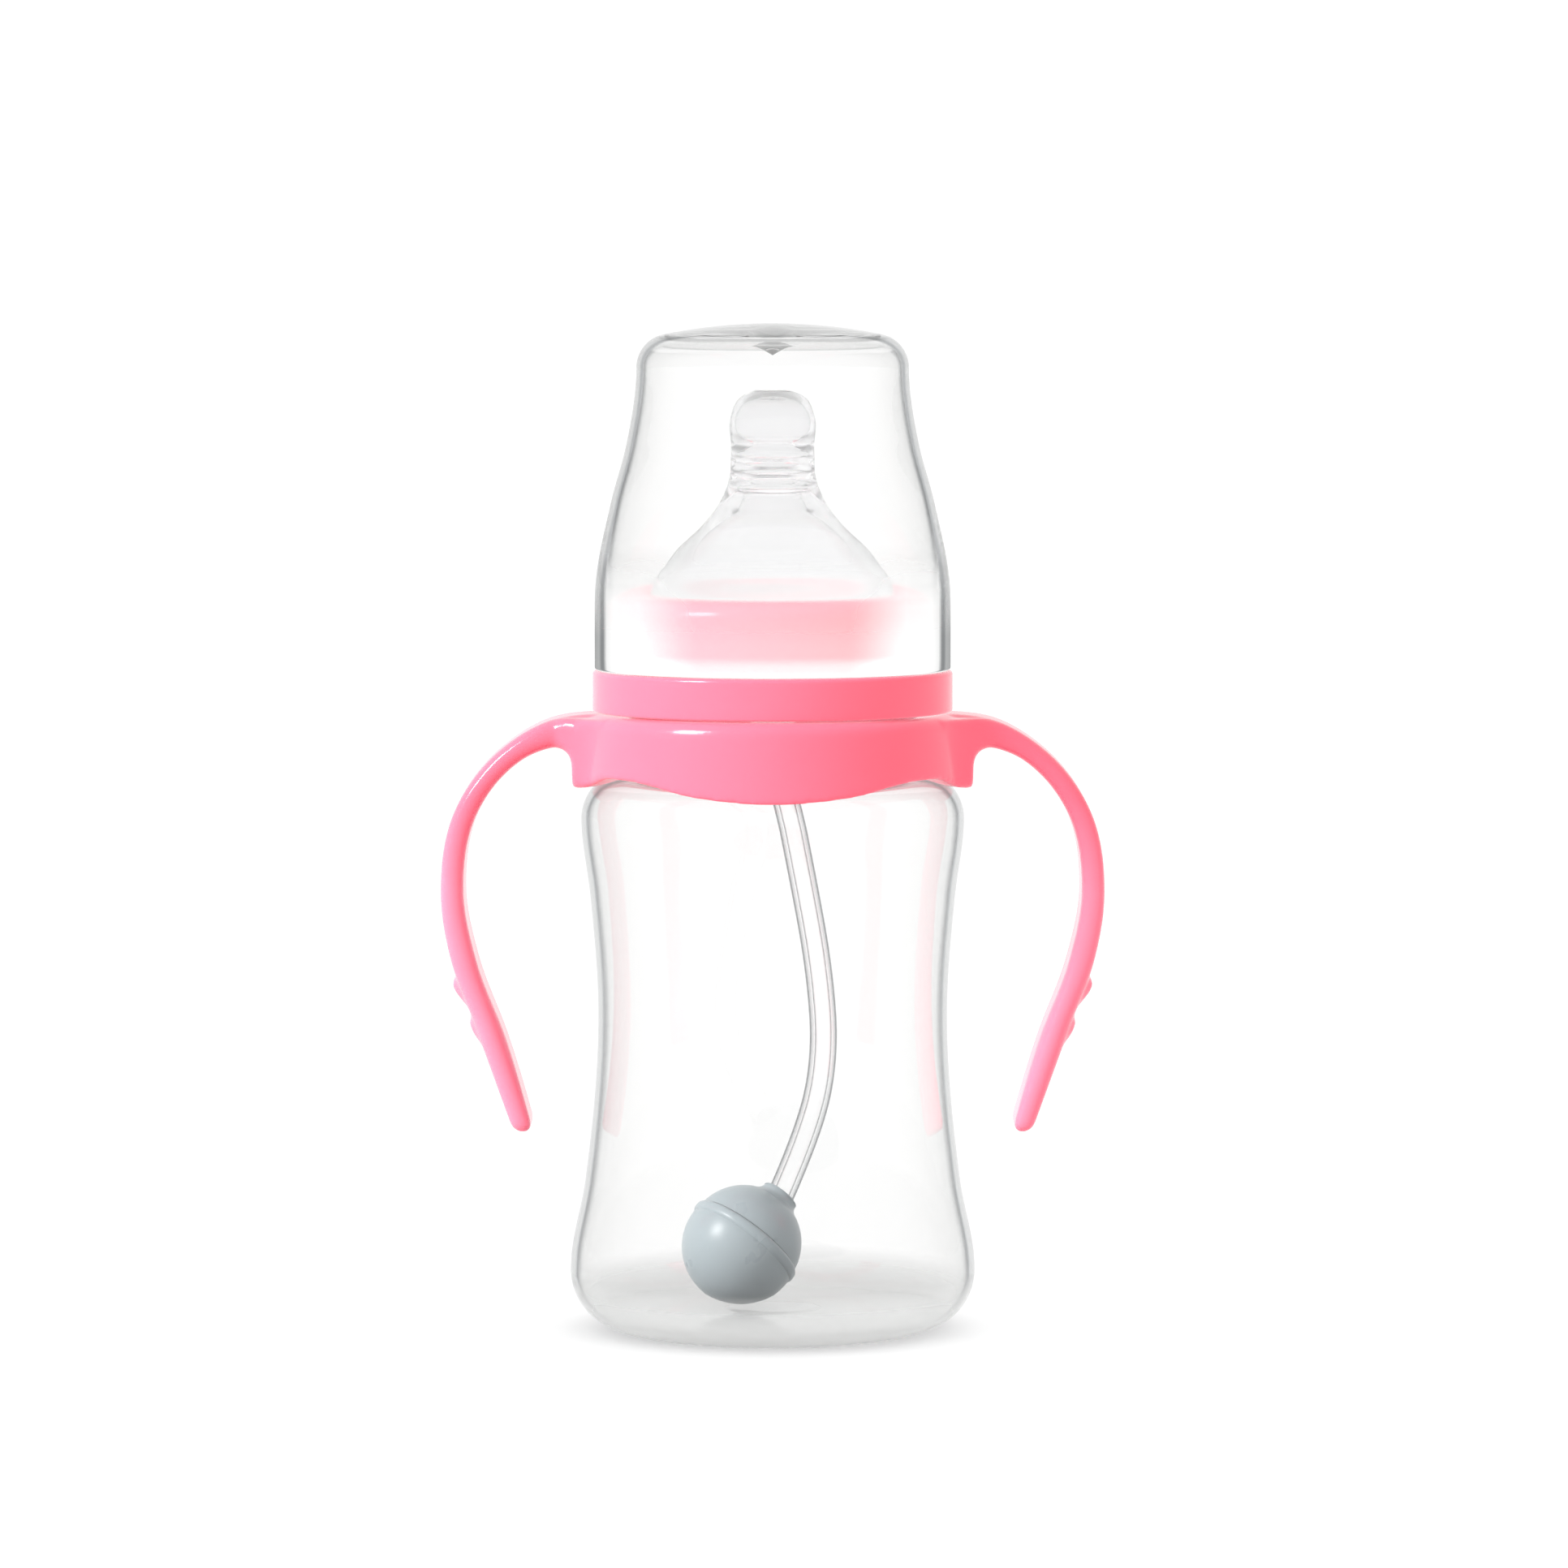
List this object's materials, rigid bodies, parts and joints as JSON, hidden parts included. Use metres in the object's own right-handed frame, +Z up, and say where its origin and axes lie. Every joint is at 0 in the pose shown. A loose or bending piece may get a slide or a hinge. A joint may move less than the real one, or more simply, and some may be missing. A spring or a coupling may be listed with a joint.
{
  "type": "baby bottle",
  "caption": "Hourglass feeding bottle, clear, with a screw collar, domed cap, silicone nipple, two open-ended handle arms and a weighted straw.",
  "frame": {"origin": "centre of the foot, on the surface that the bottle stands on", "axes": "+Z up along the bottle's axis, the two handle arms along X, the front towards -Y"},
  "size_m": [0.1112, 0.0682, 0.1692],
  "materials": {
    "clear_bottle": "clear polypropylene, glossy",
    "clear_cap": "clear polypropylene, hazy towards the rim",
    "pink_plastic": "glossy moulded polypropylene",
    "clear_silicone": "clear liquid silicone rubber, smooth",
    "natural_plastic": "natural translucent polypropylene",
    "grey_plastic": "satin moulded polypropylene",
    "steel": "turned stainless steel"
  },
  "bodies": {
    "bottle": {"bottle_body": "clear_bottle"},
    "handles": {"handle_ring": "pink_plastic"},
    "nipple_unit": {"nipple": "clear_silicone"},
    "collar": {"screw_collar": "pink_plastic"},
    "cap": {"dome_cap": "clear_cap"},
    "disc": {"straw_disc": "natural_plastic"},
    "weighted_straw": {"straw": "clear_silicone", "ball_upper_shell": "grey_plastic", "ball_lower_shell": "grey_plastic", "ball_weight": "steel"}
  },
  "joints": [
    {"name": "collar_lift", "type": "slide", "parent": "bottle", "child": "nipple_unit", "axis": [0, 0, 1], "range_m": [0, 0.006]},
    {"name": "collar_turn", "type": "hinge", "parent": "nipple_unit", "child": "collar", "pos_m": [0, 0, 0.111], "axis": [0, 0, 1], "range_deg": [0, 540]},
    {"name": "cap_lift", "type": "slide", "parent": "collar", "child": "cap", "axis": [0, 0, 1], "range_m": [0, 0.06]},
    {"name": "handle_turn", "type": "hinge", "parent": "bottle", "child": "handles", "pos_m": [0, 0, 0.1], "axis": [0, 0, 1], "continuous": true},
    {"name": "disc_turn", "type": "hinge", "parent": "nipple_unit", "child": "disc", "pos_m": [0, 0, 0.119], "axis": [0, 0, 1], "continuous": true},
    {"name": "straw_swing", "type": "hinge", "parent": "disc", "child": "weighted_straw", "pos_m": [0, 0, 0.104], "axis": [0, 1, 0], "range_deg": [-15, 8.5]}
  ],
  "couplings": [
    {"joint": "collar_lift", "follows": "collar_turn", "m_per_rad": 0.00063661}
  ]
}
